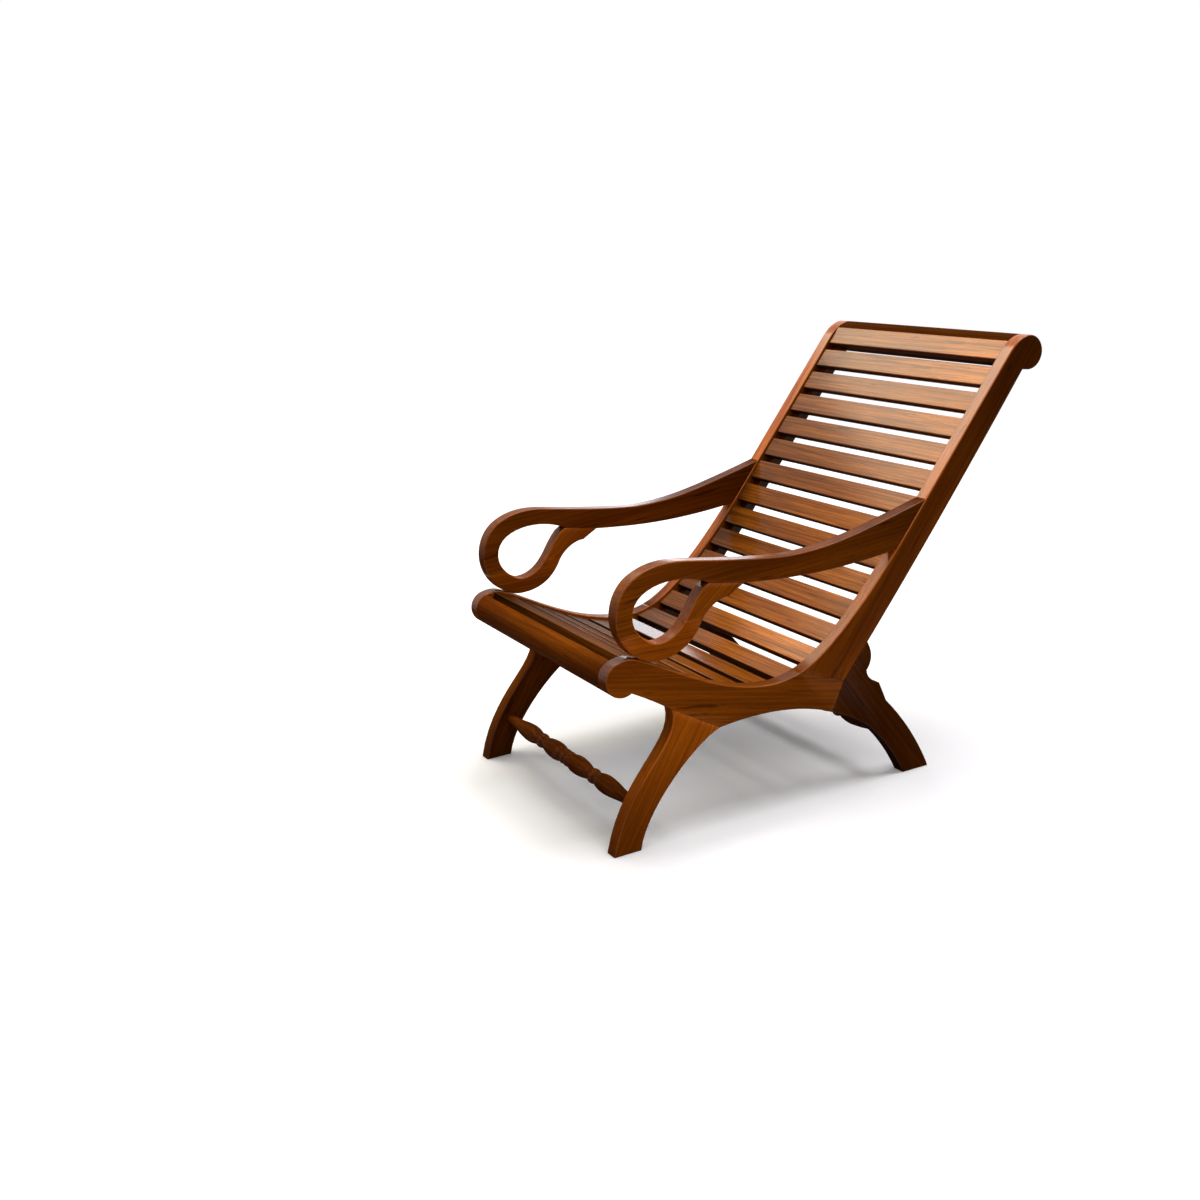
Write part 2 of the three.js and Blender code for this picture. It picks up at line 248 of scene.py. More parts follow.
# each stretch as its start, its two handles and its end; a straight line has no handles
def asKnots(start, stretches):
    knots, here = [], Vector(start)
    for stretch in stretches:
        points = [Vector(point) for point in stretch]
        end = points[-1]
        if len(points) == 1:
            knots.append((here, None, None, end))
        elif len(points) == 2:
            bend = points[0]
            knots.append((here, here.lerp(bend, 2 / 3), end.lerp(bend, 2 / 3), end))
        else:
            knots.append((here, points[0], points[1], end))
        here = end
    return knots


def backwards(start, stretches):
    flipped = []
    for here, first, second, end in reversed(asKnots(start, stretches)):
        flipped.append([here] if first is None else [second, first, here])
    return flipped


def startCurve(name, count):
    startFresh()
    bpy.ops.curve.primitive_bezier_curve_add(radius=1, location=(0, 0, 0))
    drawing = bpy.context.object
    drawing.name = name
    line = drawing.data.splines[0]
    line.bezier_points.add(count - len(line.bezier_points))
    return drawing, line


def curveToMesh(drawing, fineness):
    drawing.data.dimensions = "3D"
    drawing.data.resolution_u = fineness
    bpy.ops.object.convert(target="MESH")
    return bpy.context.object


def drawOutline(name, start, stretches, startX, fineness):
    knots = asKnots(start, stretches)
    knots = [knot for knot in knots if (knot[3] - knot[0]).length > finishing["shortest"]]
    drawing, line = startCurve(name, len(knots))

    def inSpace(flat):
        return Vector((startX, flat.x, flat.y)) * mm

    pairs = [
        (line.bezier_points[number], line.bezier_points[(number + 1) % len(knots)])
        for number in range(len(knots))
    ]
    for (point, following), (here, first, second, end) in zip(pairs, knots):
        point.co = inSpace(here)
        point.handle_right_type = "VECTOR" if first is None else "FREE"
        following.handle_left_type = "VECTOR" if first is None else "FREE"
    for (point, following), (here, first, second, end) in zip(pairs, knots):
        if first is not None:
            point.handle_right = inSpace(first)
            following.handle_left = inSpace(second)
    line.use_cyclic_u = True
    return curveToMesh(drawing, fineness)


def sawBoard(name, start, stretches, startX, thickness, fineness=14):
    board = drawOutline(name, start, stretches, startX, fineness)
    editAll(board)
    bpy.ops.mesh.remove_doubles(threshold=finishing["merge"] * mm)
    bpy.ops.mesh.edge_face_add()
    bpy.ops.mesh.extrude_region_move(TRANSFORM_OT_translate={"value": (thickness * mm, 0, 0)})
    turnOutwards(board)
    return board


# paler edges, from wear and painted highlight, painted light on the faces that look up and forwards,
# and where the lacquer shines
wear = {
    "side": Vector((0, -0.6, 0.8)),  # painted light goes on the faces that look up and forwards
    "sideGain": 1.4,
    "faceLightCurve": 0.7,  # how soon a change of the painted light shows along the fibre
    "glossGain": 2.0,  # only what looks upwards shines
    "plainPolish": 0.01,  # of the faces that nothing rubs
    # paler edges: partly wear, partly painted highlight
    "edgePaler": 0.5,
    "edgePolish": 0.2,
}
grainShift = [(-9, 9), (-0.05, 0.05), (0.03, 0.09)]  # metres, where in the log a piece is cut


# each piece carries its own grain: along the fibre, across it and through the board
# tones, polish and the painted light on the faces are pairs, for the two ends of the fibre
# polish is the lacquer's gloss on the faces that look up and forwards, and the painted light makes
# them paler, or darker, as painted shade, where it is below zero
def layGrain(piece, along, across, tones, polish, seed, broad=(1, 0, 0), faceLight=(0, 0)):
    draw = random.Random(seed)
    along, across, broad = Vector(along).normalized(), Vector(across).normalized(), Vector(broad)
    through = along.cross(across)
    mesh = piece.data
    middle = sum((vertex.co for vertex in mesh.vertices), Vector()) / len(mesh.vertices)
    shift = Vector([draw.uniform(low, high) for low, high in grainShift])
    mesh.attributes.new("grain", "FLOAT_VECTOR", "POINT")
    mesh.attributes.new("tone", "FLOAT", "POINT")
    mesh.attributes.new("polish", "FLOAT", "POINT")
    grain, shade, coat = (mesh.attributes[key].data for key in ("grain", "tone", "polish"))
    reaches = [(vertex.co - middle).dot(along) for vertex in mesh.vertices]
    near, far = min(reaches), max(reaches)
    for vertex, reach in zip(mesh.vertices, reaches):
        here, normal = vertex.co - middle, vertex.normal
        grain[vertex.index].vector = Vector((reach, here.dot(across), here.dot(through))) + shift
        share = (reach - near) / (far - near)
        flat = min(1.0, abs(normal.dot(broad)) ** 2)
        arris = 4 * flat * (1 - flat)  # one halfway round an edge, none on the faces
        # the faces that look up and forwards, which get the painted light and the lacquer's gloss
        lightFacing = (1.0 - flat) * within(wear["sideGain"] * normal.dot(wear["side"]))
        # painted light on those faces: paler, or darker as painted shade where it is below zero
        paintedLighting = 1.0 + between(faceLight, share ** wear["faceLightCurve"]) * lightFacing
        # paler edges: partly wear, partly painted highlight
        edging = 1.0 + wear["edgePaler"] * arris
        shade[vertex.index].value = between(tones, share) * paintedLighting * edging
        shiny = lightFacing * within(wear["glossGain"] * normal.z)
        gloss = between((wear["plainPolish"], between(polish, share)), shiny)
        coat[vertex.index].value = gloss + wear["edgePolish"] * arris


def dress(piece, node, finish):
    piece.data.materials.clear()
    piece.data.materials.append(finish)
    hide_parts(node)
    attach(piece, "root")


# wood
# rings, streaks and fibres say how far each of these layers darkens it
woodLooks = {
    "frameWood": {
        "pale": (0.360, 0.088, 0.004, 1),
        "middle": (0.220, 0.047, 0.002, 1),
        "dark": (0.045, 0.009, 0.0005, 1),
        "ringWidth": 0.010,
        "rings": 0.22,
        "streaks": 0.27,
        "fibres": 0.28,
    },
    "slatWood": {
        "pale": (0.400, 0.120, 0.012, 1),
        "middle": (0.270, 0.074, 0.006, 1),
        "dark": (0.058, 0.012, 0.001, 1),
        "ringWidth": 0.008,
        "rings": 0.25,
        "streaks": 0.5,
        "fibres": 0.55,
    },
    "turnedWood": {
        "pale": (0.200, 0.048, 0.003, 1),
        "middle": (0.120, 0.026, 0.001, 1),
        "dark": (0.035, 0.007, 0.0005, 1),
        "ringWidth": 0.010,
        "rings": 0.35,
        "streaks": 0.4,
        "fibres": 0.3,
    },
}
# what all three woods share
commonLook = {
    "figure": 0.3,
    "flecks": 0.6,
    "pores": 0.35,
    "roughness": (0.22, 0.38),  # between the fibres and on them
    "coatRoughness": 0.17,
    "fibreDepth": 0.5,
    "poreDepth": 1.0,
    "relief": 0.25,
    "reliefHeight": 0.0004,
}
# each layer is a noise: its fineness along the fibre, across it and through the board,
# its detail and roughness, and the levels at which it starts to show and shows in full
woodLayers = {
    "clouds": ((2.5, 14, 14), 2, 0.5, (0.3, 0.7)),
    "figure": ((1.5, 70, 70), 3, 0.6, (0.45, 0.65)),
    "streaks": ((3, 190, 190), 3, 0.6, (0.5, 0.62)),
    "fibres": ((8, 420, 420), 3, 0.6, (0.42, 0.66)),
    "flecks": ((9, 75, 75), 2, 0.5, (0.67, 0.72)),
    "pores": ((55, 1500, 1500), 1, 0.5, (0.6, 0.7)),
}
ringLook = {
    "perScale": 0.314,  # the width of one ring, in metres, at a scale of one
    "stretch": (0.04, 1, 1),
    "wander": ((2.2, 9, 9), 2, 0.5),  # a noise, as in the layers
    "wanderReach": (0, 0.03, 0.03),  # metres
    "settings": {"Distortion": 2.2, "Detail": 3, "Detail Scale": 0.9, "Detail Roughness": 0.6},
    "line": [(0, 0.35), (0.12, 0), (0.6, 0.12), (0.9, 0.85), (1, 1)],  # place in a ring, darkness
}


def makeWood(name):
    look = {**woodLooks[name], **commonLook}
    wood = bpy.data.materials.new(name)
    wood.use_nodes = True
    nodes, links = wood.node_tree.nodes, wood.node_tree.links
    lacquer = nodes["Principled BSDF"]

    def add(kind, **settings):
        node = nodes.new("ShaderNode" + kind)
        for key, value in settings.items():
            setattr(node, key, value)
        return node

    def feed(socket, value):
        if isinstance(value, bpy.types.NodeSocket):
            links.new(value, socket)
        else:
            socket.default_value = value

    def combine(kind, operation, first, second):
        node = add(kind, operation=operation)
        feed(node.inputs[0], first)
        feed(node.inputs[1], second)
        return node.outputs[0]

    def mix(share, first, second):
        node = add("Mix", data_type="RGBA")
        for index, value in ((0, share), (6, first), (7, second)):
            feed(node.inputs[index], value)
        return node.outputs[2]

    def ramp(source, stops):
        node = add("ValToRGB")
        elements = node.color_ramp.elements
        while len(elements) < len(stops):
            elements.new(0.5)
        for element, (position, level) in zip(elements, stops):
            element.position = position
            element.color = (level, level, level, 1)
        feed(node.inputs[0], source)
        return node.outputs[0]

    grain = add("Attribute", attribute_name="grain").outputs["Vector"]
    tone = add("Attribute", attribute_name="tone").outputs["Fac"]
    polish = add("Attribute", attribute_name="polish").outputs["Fac"]

    def noise(stretch, detail, roughness):
        node = add("TexNoise")
        feed(node.inputs["Vector"], combine("VectorMath", "MULTIPLY", grain, stretch))
        feed(node.inputs["Scale"], 1)
        feed(node.inputs["Detail"], detail)
        feed(node.inputs["Roughness"], roughness)
        return node

    layers = {}
    for layer, (stretch, detail, roughness, (start, full)) in woodLayers.items():
        layers[layer] = ramp(noise(stretch, detail, roughness).outputs["Fac"], [(start, 0), (full, 1)])

    # the rings wander slowly along the board
    wander = noise(*ringLook["wander"]).outputs["Color"]
    wander = combine("VectorMath", "SUBTRACT", wander, (0.5, 0.5, 0.5))
    wander = combine("VectorMath", "MULTIPLY", wander, ringLook["wanderReach"])
    straight = combine("VectorMath", "MULTIPLY", grain, ringLook["stretch"])
    rings = add("TexWave", wave_type="RINGS", rings_direction="X", wave_profile="SAW")
    feed(rings.inputs["Vector"], combine("VectorMath", "ADD", straight, wander))
    feed(rings.inputs["Scale"], ringLook["perScale"] / look["ringWidth"])
    for socket, value in ringLook["settings"].items():
        feed(rings.inputs[socket], value)
    layers["rings"] = ramp(rings.outputs["Fac"], ringLook["line"])

    colour = mix(layers["clouds"], look["pale"], look["middle"])
    for layer in ("rings", "figure", "streaks", "fibres", "flecks", "pores"):
        colour = mix(combine("Math", "MULTIPLY", layers[layer], look[layer]), colour, look["dark"])
    # the tone attribute scales the colour: the wood's own tone, with painted light and shade
    shade = add("HueSaturation")
    feed(shade.inputs["Color"], colour)
    feed(shade.inputs["Value"], tone)
    feed(lacquer.inputs["Base Color"], shade.outputs["Color"])

    # the bare wood is dull, and only the lacquer on it shines
    satin = add("MapRange")
    feed(satin.inputs["Value"], layers["fibres"])
    feed(satin.inputs["To Min"], look["roughness"][0])
    feed(satin.inputs["To Max"], look["roughness"][1])
    feed(lacquer.inputs["Roughness"], satin.outputs[0])
    feed(lacquer.inputs["Specular IOR Level"], 0.0)
    feed(lacquer.inputs["Coat Weight"], polish)
    feed(lacquer.inputs["Coat Roughness"], look["coatRoughness"])

    fibreHeight = combine("Math", "MULTIPLY", layers["fibres"], -look["fibreDepth"])
    poreHeight = combine("Math", "MULTIPLY", layers["pores"], -look["poreDepth"])
    bump = add("Bump")
    feed(bump.inputs["Height"], combine("Math", "ADD", fibreHeight, poreHeight))
    feed(bump.inputs["Strength"], look["relief"])
    feed(bump.inputs["Distance"], look["reliefHeight"])
    feed(lacquer.inputs["Normal"], bump.outputs[0])
    print(name + " mixed")
    return wood


# side frames and arms
corner = {
    "toe": (-550.0, 0.0),
    "legSeamFront": (-404.2, 278.0),
    "legSeamRear": (-293.7, 214.6),
    "stileToe": (-95.7, 288.5),
    "stileHeel": (13.2, 247.9),
    "archEnd": (-18.7, 184.4),
    "stileBack": (77.0, 319.1),
    "lipFoot": (154.0, 505.3),
    "lipHead": (457.0, 878.8),
    "armHigh": (231.9, 601.3),
    "bowlTopFront": (-508.2, 439.2),
    "bowlTopRear": (-326.1, 444.2),
    "tailRear": (-226.0, 502.6),
    "openingTip": (-308.0, 517.7),
    "openingFront": (-465.8, 442.8),
    "openingRear": (-364.1, 451.5),
}
scrollArcs = {
    "topScroll": (math.pi * -0.565, math.pi * 0.5),
    "frontScroll": (math.pi * 0.5917, math.pi * 1.6667),
}
lipSeat = [
    [(-128.7, 278.5), (-161.1, 278.5)],
    [(-285.4, 278.5), (-409.2, 371.1), (-479.1, 397.2)],
    [(-491.2, 401.3), (-504.9, 400.4), (-514.8, 397.6)],
]
lipBend = [(121.0, 464.7), (-10.4, 314.5), corner["stileToe"]]
openingRound = [
    [(-369.6, 551.5), (-479.6, 541.0), (-479.6, 478.9)],
    [(-479.6, 464.3), (-474.1, 452.4), corner["openingFront"]],
]
openingBowl = [
    [(-452.6, 426.8), (-433.4, 418.2), (-426.8, 418.2)],
    [(-396.0, 418.2), (-376.2, 436.4), corner["openingRear"]],
]
openingTail = [
    [(-359.7, 457.0), (-356.4, 461.5), (-353.7, 466.1)],
    [(-336.6, 493.5), (-326.7, 504.0), (-320.6, 510.4)],
    [corner["openingTip"]],
]
# grain is in degrees from level; the far share darkens the right-hand board with painted shade
boards = {
    "front_leg": {
        "start": corner["toe"],
        "outline": [
            [(-488.4, 0.0)],
            [(-473.0, 84.0), (-349.8, 198.1), corner["legSeamRear"]],
            [corner["legSeamFront"]],
            [(-384.4, 198.1), (-512.1, 160.2), corner["toe"]],
        ],
        "grain": 58,
        "tones": (0.9, 2.2),
        "farShade": 0.6,
        "polish": (0.03, 0.03),
    },
    "seat_rail": {
        "start": corner["legSeamRear"],
        "outline": [
            [(-161.7, 230.1), (-73.7, 207.7), corner["archEnd"]],
            [corner["stileHeel"]],
            [corner["stileToe"]],
            *lipSeat,
            *arcStretches(chair["frontScroll"], chair["scrollRadius"], *scrollArcs["frontScroll"]),
            [(-446.1, 306.8), corner["legSeamFront"]],
            [corner["legSeamRear"]],
        ],
        "grain": -12,
        "tones": (1.45, 1.05),
        # painted shade: its faces that look up and forwards are darker
        "faceLight": (-0.3, -0.42),
        "polish": (0.62, 0.33),
    },
    "rear_leg": {
        "start": corner["archEnd"],
        "outline": [
            [(51.7, 156.1), (83.0, 126.0)],
            [(139.2, 69.8), (171.1, 0.0)],
            [(240.9, 0.0)],
            [(201.3, 95.9), (126.0, 178.0)],
            [(107.8, 221.9)],
            [(100.1, 226.0)],
            [(74.8, 238.3), (74.8, 257.0)],
            [(97.9, 283.9), corner["stileBack"]],
            [corner["stileHeel"]],
            [corner["archEnd"]],
        ],
        "grain": 125,
        "tones": (0.4, 0.34),
        "polish": (0.03, 0.03),
    },
    "back_stile": {
        "start": corner["stileBack"],
        "outline": [
            [(221.1, 488.9), (360.2, 664.7), (495.0, 841.8)],
            *arcStretches(chair["topScroll"], chair["scrollRadius"], *scrollArcs["topScroll"]),
            [(484.6, 913.0), corner["lipHead"]],
            [corner["lipFoot"]],
            lipBend,
            [corner["stileHeel"]],
            [corner["stileBack"]],
        ],
        "grain": 53,
        # painted shade darkens the stile towards the top, and painted light makes its faces that look
        # up and forwards much paler there
        "tones": (1.15, 0.42),
        "faceLight": (-0.3, 5.0),
        "polish": (0.35, 0.85),
    },
    "arm": {
        "start": corner["lipFoot"],
        "outline": [
            [corner["armHigh"]],
            [(52.8, 555.1), (-9.9, 540.0), (-113.8, 540.0)],
            [(-164.4, 540.0), (-294.8, 560.6), (-348.1, 569.3)],
            [(-394.9, 577.0), (-430.7, 576.6), (-468.1, 558.3)],
            [(-499.9, 542.8), (-516.4, 510.8), (-516.4, 477.5)],
            [(-516.4, 463.8), (-513.1, 450.6), corner["bowlTopFront"]],
            [corner["openingFront"]],
            *backwards(corner["openingTip"], openingRound),
            [corner["tailRear"]],
            [(-129.8, 493.0), (-19.8, 483.9), corner["lipFoot"]],
        ],
        "grain": 4,
        "tones": (1.15, 0.6),
        "farShade": 0.82,
        "polish": (0.35, 0.35),
    },
    "arm_bowl": {
        "start": corner["bowlTopFront"],
        "outline": [
            [(-492.8, 404.9), (-460.3, 383.0), (-429.6, 383.0)],
            [(-383.9, 383.0), (-348.7, 400.8), corner["bowlTopRear"]],
            [corner["openingRear"]],
            *backwards(corner["openingFront"], openingBowl),
            [corner["bowlTopFront"]],
        ],
        "grain": 0,
        "tones": (2.2, 2.0),
        "farShade": 0.65,
        # painted shade: its faces that look up and forwards are darker
        "faceLight": (-0.25, -0.25),
        "polish": (0.3, 0.3),
    },
    "arm_tail": {
        "start": corner["bowlTopRear"],
        "outline": [
            [(-320.1, 455.6), (-294.2, 483.0), (-261.2, 482.5)],
            [(-249.2, 489.8), corner["tailRear"]],
            [corner["openingTip"]],
            *backwards(corner["openingRear"], openingTail),
            [corner["bowlTopRear"]],
        ],
        "grain": 38,
        "tones": (1.5, 1.3),
        # painted shade: its faces that look up and forwards are darker
        "faceLight": (-0.2, -0.2),
        "polish": (0.4, 0.4),
    },
}
seams = [
    ("legSeamFront", "legSeamRear"),
    ("stileHeel", "stileToe"),
    ("stileHeel", "archEnd"),
    ("stileHeel", "stileBack"),
    ("bowlTopFront", "openingFront"),
    ("openingRear", "bowlTopRear"),
    ("openingTip", "tailRear"),
]
# what share of the full rounding an edge gets, and how near to its line, in millimetres
rounding = {
    "seam": chair["seamEase"] / chair["edgeRound"],
    "seamReach": 0.05,
    "bowlReach": 0.08,
    "foot": 0.35,
    "footBelow": 1.0,
    "scrollReach": 0.2,
    "fadeStart": 0.1,  # radians from the end of a scroll
    "fadeLength": 0.5,
    "angleRoom": 0.01,
}
lipRunOut = 1.071  # the straight part of the lip goes on to the far side of the crest rail


# the line that the slats follow, from the crest rail down to the front scroll
def lipLine(fineness=40):
    top = Vector(corner["lipFoot"]).lerp(Vector(corner["lipHead"]), lipRunOut)
    points = [top, Vector(corner["lipFoot"])]
    for here, first, second, end in asKnots(corner["lipFoot"], [lipBend, *lipSeat]):
        points.extend(interpolate_bezier(here, first, second, end, fineness)[1:])
    return [Vector(point[:2]) for point in points]


lipPoints = lipLine()
lipMarks = [0.0]  # how far along the lip each point is
for lipStart, lipEnd in zip(lipPoints, lipPoints[1:]):
    lipMarks.append(lipMarks[-1] + (lipEnd - lipStart).length)
lipLength = lipMarks[-1]
bowlFoot = [point + Vector((0, chair["gap"])) for point in lipPoints]  # what the arm bowl stands on


# beside a cross rail the round edge fades out along the scroll
def besideRail(flat):
    for name, (start, end) in scrollArcs.items():
        away = flat - Vector(chair[name])
        if abs(away.length - chair["scrollRadius"]) < rounding["scrollReach"]:
            angle = math.atan2(away.y, away.x)
            if angle < start - rounding["angleRoom"]:
                angle += math.tau
            fromEnd = min(angle - start, end - angle)
            return within((fromEnd - rounding["fadeStart"]) / rounding["fadeLength"])
    return 0.0


def boardRounding(first, second):
    if runsAcross(first, second):
        return rounding["foot"] if first.z < rounding["footBelow"] else 0.0
    middle = Vector(((first.y + second.y) / 2, (first.z + second.z) / 2))
    for start, end in seams:
        if pointNearLine(middle, Vector(corner[start]), Vector(corner[end]), rounding["seamReach"]):
            return rounding["seam"]
    onInside = first.x < outerX - 1
    return between((1.0, rounding["seam"]), besideRail(middle)) if onInside else 1.0


def bowlRounding(first, second):
    onRail = not runsAcross(first, second) and all(
        any(
            pointNearLine(flat, start, end, rounding["bowlReach"])
            for start, end in zip(bowlFoot, bowlFoot[1:])
        )
        for flat in (Vector((first.y, first.z)), Vector((second.y, second.z)))
    )
    return rounding["seam"] if onRail else boardRounding(first, second)


# a wider copy of the rail, raised by the glue line, cuts the foot of the bowl
def trimOnRail(bowl, rail, wider=1.2):
    cutter = copyOf(rail)
    cutter.scale.x = wider
    cutter.location.x = (1 - wider) * (innerX + chair["thickness"] / 2) * mm
    cutter.location.z = chair["gap"] * mm
    settle(cutter)
    cutAway(bowl, cutter)


def buildSides(wood):
    sawn = {}
    for name, board in boards.items():
        label = "left_" + name + ".made"
        sawn[name] = sawBoard(label, board["start"], board["outline"], innerX, chair["thickness"])
    trimOnRail(sawn["arm_bowl"], sawn["seat_rail"])
    for number, (name, left) in enumerate(sawn.items()):
        board = boards[name]
        weighEdges(left, bowlRounding if name == "arm_bowl" else boardRounding)
        heading = math.radians(board["grain"])
        along = (0, math.cos(heading), math.sin(heading))
        right = mirrorCopy(left, "right_" + name + ".made")
        for far, (side, piece) in enumerate((("left_", left), ("right_", right))):
            roundEdges(piece, chair["edgeRound"])
            smoothFaces(piece)
            # painted shade on the right-hand board
            darker = board.get("farShade", 1.0) if far else 1.0
            tones = [tone * darker for tone in board["tones"]]
            seed = seeds["boardStep"] * number + far
            faceLight = board.get("faceLight", (0, 0))
            layGrain(piece, along, (1, 0, 0), tones, board["polish"], seed, faceLight=faceLight)
            dress(piece, side + name, wood)
    print("side frames and arms built")


# slats, numbered from the top
slatMake = {
    "count": 20,
    "backCount": 13,
    "width": 47.0,
    "thickness": 18.0,
    "edgeRound": 2.6,
    "endRound": 0.25,  # the share of it round the two ends
    "recess": 5.0,  # below the lip
    "endGap": 0.5,
    "lastShare": 0.985,  # of the lip, down to the last slat's front edge
    "edgeShade": 0.3,  # painted shade: the edges stay darker than the faces that look up and forwards, and the lit front edge of the last slat less so
    "lastEdgeShade": 0.85,
    # the back's upper slats are painted paler and the seat's slats darker: painted light and shade
    "backTone": 1.5,
    "backDarker": 0.04,  # painted shade: darker with each slat, down to the one of fadeTo
    "fadeTo": 9,
    "seatTone": 0.72,
    "seatDarker": 0.06,
    "rightEnd": (0.7, 0.82),  # shares of the tone, drawn for each slat; the left ends are paler with painted sheen
    "leftEnd": (1.72, 2.02),
    "lean": 0.06,  # how far the fibre may run off the slat's length
    "polish": [  # slat, level
        (0, 0.58), (4, 0.54), (7, 0.36), (9, 0.26),
        (12, 0.33), (14, 0.42), (16, 0.25), (19, 0.08),
    ],
}
slatPitch = (slatMake["lastShare"] * lipLength - slatMake["width"]) / (slatMake["count"] - 1)
slatMiddle = slatMake["recess"] + slatMake["thickness"] / 2
slatBack = slatMake["recess"] + slatMake["thickness"] + chair["gap"]


# a place on the lip, sunk by so much, and the direction of the lip there
def placeOnLip(distance, sunk):
    distance = min(distance, lipLength)
    number = max(1, bisect_left(lipMarks, distance - 1e-6))  # a hair less, for a place on a mark
    start, end = lipPoints[number - 1], lipPoints[number]
    span = lipMarks[number] - lipMarks[number - 1]
    here = start.lerp(end, (distance - lipMarks[number - 1]) / span)
    along = (end - start).normalized()
    return here + Vector((-along.y, along.x)) * sunk, along


def slatMark(number):
    return slatMake["width"] / 2 + number * slatPitch


def layOnLip(piece, distance, sunk):
    middle, along = placeOnLip(distance, sunk)
    piece.rotation_euler = (math.atan2(along.y, along.x), 0, 0)
    piece.location = (0, middle.x * mm, middle.y * mm)
    settle(piece)
    return along


def addBlock(length, width, thickness):
    startFresh()
    bpy.ops.mesh.primitive_cube_add(size=1, location=(0, 0, 0))
    block = bpy.context.object
    block.scale = (length * mm, width * mm, thickness * mm)
    return block


# a slat's width with a glue line on either side, and longer than the chair is wide
def addSlatRoom(distance, sunk, thickness, extra=50):
    room = addBlock(chair["width"] + extra, slatMake["width"] + 2 * chair["gap"], thickness)
    layOnLip(room, distance, sunk)
    return room


def slatRounding(first, second):
    return 1.0 if runsAcross(first, second) else slatMake["endRound"]


# the level at a slat, from marks of slat and level
def levelAt(marks, number):
    later = next(index for index, mark in enumerate(marks) if mark[0] >= number)
    (lastMark, lastLevel), (mark, level) = marks[max(later - 1, 0)], marks[later]
    return between((lastLevel, level), (number - lastMark) / max(mark - lastMark, 1))


# paler up the back, darker down it and on the seat: painted light and shade
def slatTone(number):
    if number < slatMake["backCount"]:
        return slatMake["backTone"] - slatMake["backDarker"] * min(number, slatMake["fadeTo"])
    return slatMake["seatTone"] - slatMake["seatDarker"] * (number - slatMake["backCount"])


def buildSlats(wood):
    pattern = addBlock(2 * (innerX - slatMake["endGap"]), slatMake["width"], slatMake["thickness"])
    settle(pattern)
    weighEdges(pattern, slatRounding)
    roundEdges(pattern, slatMake["edgeRound"])
    for number in range(slatMake["count"]):
        if number < slatMake["backCount"]:
            node = "back_slat_" + str(number + 1)
        else:
            node = "seat_slat_" + str(number + 1 - slatMake["backCount"])
        slat = copyOf(pattern)
        slat.name = node + ".made"
        along = layOnLip(slat, slatMark(number), slatMiddle)
        smoothFaces(slat)
        draw = random.Random(seeds["slatTone"] + number)
        isLast = number == slatMake["count"] - 1
        # painted shade on the slat's edges
        edgeShade = slatMake["lastEdgeShade" if isLast else "edgeShade"]
        level = edgeShade * slatTone(number)
        tones = [level * draw.uniform(*slatMake[end]) for end in ("rightEnd", "leftEnd")]
        lean = draw.uniform(-slatMake["lean"], slatMake["lean"])
        fibre, across = (1, lean * along.x, lean * along.y), (0, along.x, along.y)
        polish = levelAt(slatMake["polish"], number)
        faceLight = 1 / edgeShade - 1  # painted light brings the faces that look up and forwards back to the full tone, so only the edges keep the painted shade
        seed = seeds["slat"] + number
        layGrain(slat, fibre, across, tones, (polish, polish), seed, across, (faceLight, faceLight))
        dress(slat, node, wood)
    bpy.data.objects.remove(pattern)
    print("slats built")


# strips under the slats
stripMake = {
    "width": 21.0,
    "depth": 25.0,
    "topGap": 3.0,  # below the crest rail
    "steps": 60,
    "tone": 0.6,
    "polish": 0.02,
}


def buildStrips(wood):
    split = slatMake["backCount"] * slatPitch - (slatPitch - slatMake["width"]) / 2
    spans = {
        "back_cleat": (chair["scrollRadius"] + stripMake["topGap"], split - chair["gap"]),
        "seat_cleat": (split, slatMake["lastShare"] * lipLength),
    }
    startX = innerX - chair["gap"] - stripMake["width"]
    steps, tone, polish = stripMake["steps"], stripMake["tone"], stripMake["polish"]
    for count, (name, (fromMark, toMark)) in enumerate(spans.items()):
        marks = [fromMark + (toMark - fromMark) * step / steps for step in range(steps + 1)]
        front = [placeOnLip(mark, slatBack)[0] for mark in marks]
        back = [placeOnLip(mark, slatBack + stripMake["depth"])[0] for mark in reversed(marks)]
        outline = [[point] for point in front[1:] + back + front[:1]]
        left = sawBoard("left_" + name + ".made", front[0], outline, startX, stripMake["width"])
        for number in range(slatMake["count"]):
            seat = addSlatRoom(slatMark(number), slatMiddle, slatMake["thickness"] + 2 * chair["gap"])
            cutAway(left, seat)
        along = Vector((0, *(front[-1] - front[0]))).normalized()
        right = mirrorCopy(left, "right_" + name + ".made")
        for far, (side, piece) in enumerate((("left_", left), ("right_", right))):
            smoothFaces(piece)
            seed = seeds["strip"] + 2 * count + far
            layGrain(piece, along, (1, 0, 0), (tone, tone), (polish, polish), seed)
            dress(piece, side + name, wood)
    print("strips built")


# crest rail and front roll
railMake = {
    "sides": 96,
    "ease": 0.5,
    "overrun": 8.0,  # the cutter of the crest's rebate starts this far above the lip
    "rollCut": 10.4,  # the roll's flat back stands this far in front of its middle
    "across": (0, 0.6, 0.8),  # of the grain
    "tones": {"crest_rail": 0.36, "front_roll_rail": 0.85},
    "polish": 0.02,
}


def addCylinder(name, center):
    startFresh()
    bpy.ops.mesh.primitive_cylinder_add(
        vertices=railMake["sides"],
        radius=chair["scrollRadius"] * mm,
        depth=2 * (innerX - chair["gap"]) * mm,
        location=(0, center[0] * mm, center[1] * mm),
        rotation=(0, math.pi / 2, 0),
    )
    rail = bpy.context.object
    rail.name = name
    settle(rail)
    return rail


